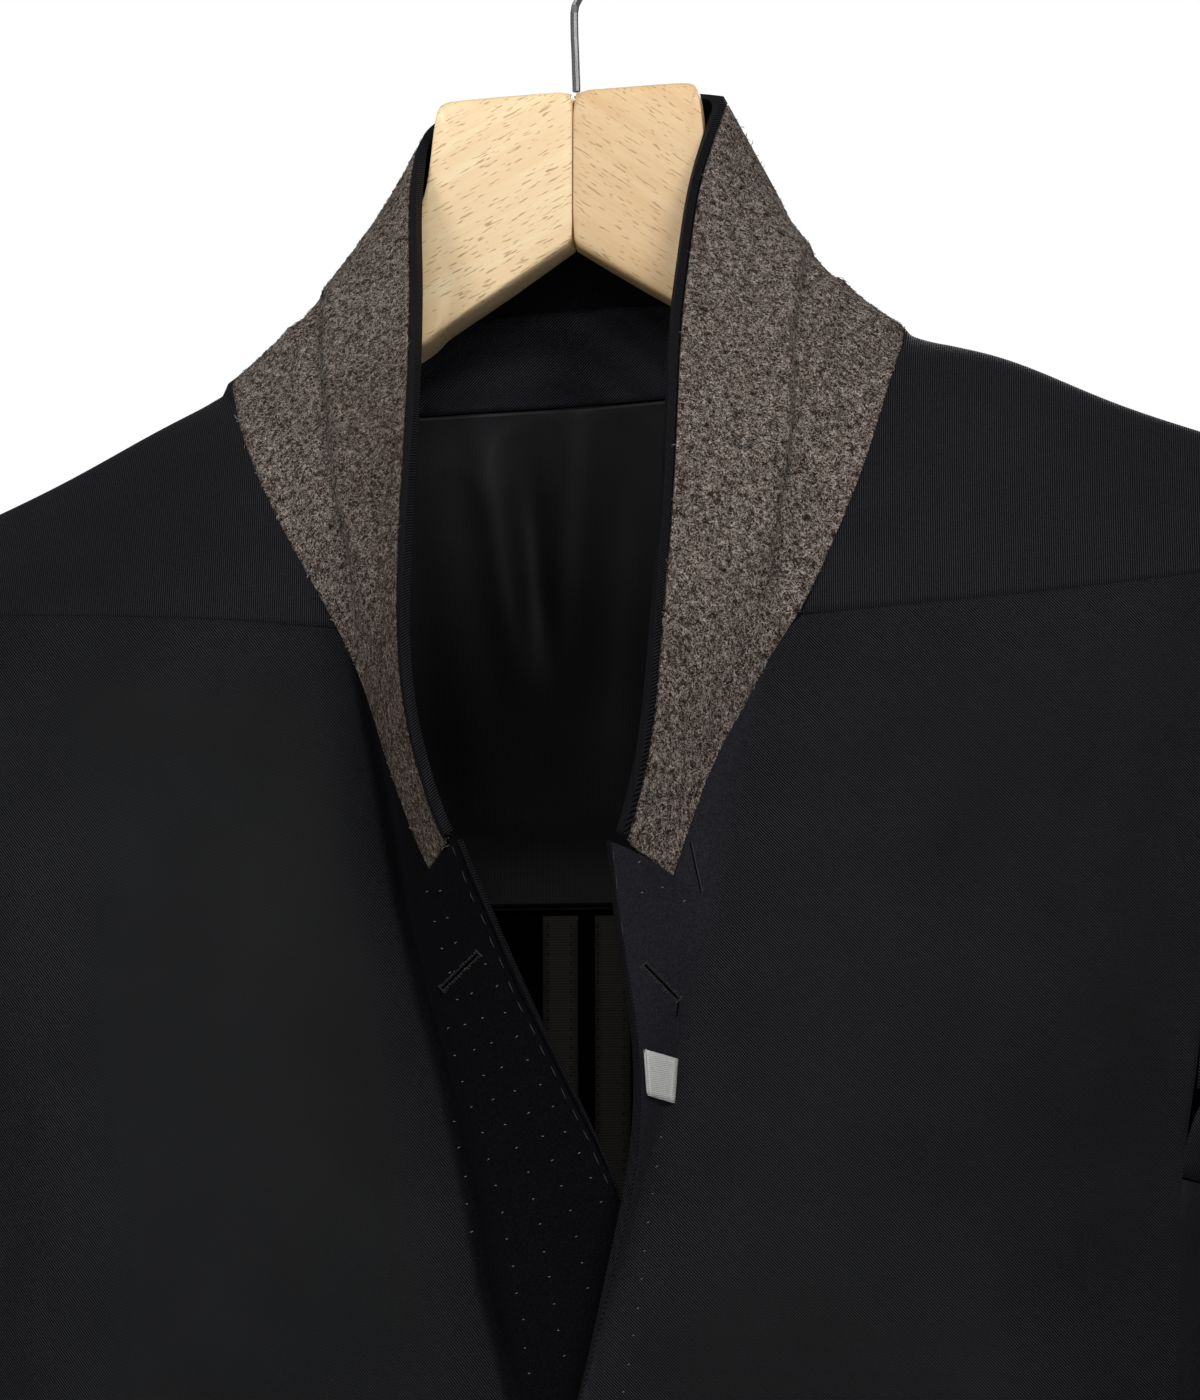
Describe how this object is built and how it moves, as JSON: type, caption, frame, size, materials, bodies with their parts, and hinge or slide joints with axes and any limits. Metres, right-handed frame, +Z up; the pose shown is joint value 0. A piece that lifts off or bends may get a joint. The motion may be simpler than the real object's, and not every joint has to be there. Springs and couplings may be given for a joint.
{
  "type": "blazer + hanger",
  "caption": "Tailored single-breasted blazer on a wooden hanger, with its collar turned up and its lapels unrolled.",
  "frame": {"origin": "inside top of the hanger's hook, where it rests on a rail", "axes": "+X to the viewer's right along the shoulders, +Y from the front to the back, +Z up"},
  "size_m": [0.598, 0.2114, 0.9174],
  "materials": {
    "jacket_cloth": "fine wool twill, matt",
    "melton": "melange undercollar felt",
    "lining_satin": "satin lining",
    "binding_tape": "ribbed tape",
    "horn_button": "polished horn look",
    "pale_tab": "plain woven tab",
    "beech": "satin varnished beech",
    "steel_rod": "bright steel"
  },
  "bodies": {
    "root": {"front_left": "jacket_cloth", "front_right": "jacket_cloth", "facing_left": "jacket_cloth", "facing_right": "jacket_cloth", "back_left": "jacket_cloth", "back_right": "jacket_cloth", "side_left": "jacket_cloth", "side_right": "jacket_cloth", "sleeve_upper_left": "jacket_cloth", "sleeve_upper_right": "jacket_cloth", "sleeve_under_left": "jacket_cloth", "sleeve_under_right": "jacket_cloth", "top_collar": "jacket_cloth", "back_facing": "jacket_cloth", "flap_left": "jacket_cloth", "flap_right": "jacket_cloth", "undercollar": "melton", "back_lining": "lining_satin", "tape_left": "binding_tape", "tape_right": "binding_tape", "front_button_1": "horn_button", "front_button_2": "horn_button", "cuff_button_left_1": "horn_button", "cuff_button_left_2": "horn_button", "cuff_button_left_3": "horn_button", "cuff_button_left_4": "horn_button", "cuff_button_right_1": "horn_button", "cuff_button_right_2": "horn_button", "cuff_button_right_3": "horn_button", "cuff_button_right_4": "horn_button", "lapel_tab": "pale_tab", "hanger_left": "beech", "hanger_right": "beech", "hook": "steel_rod"}
  },
  "joints": []
}
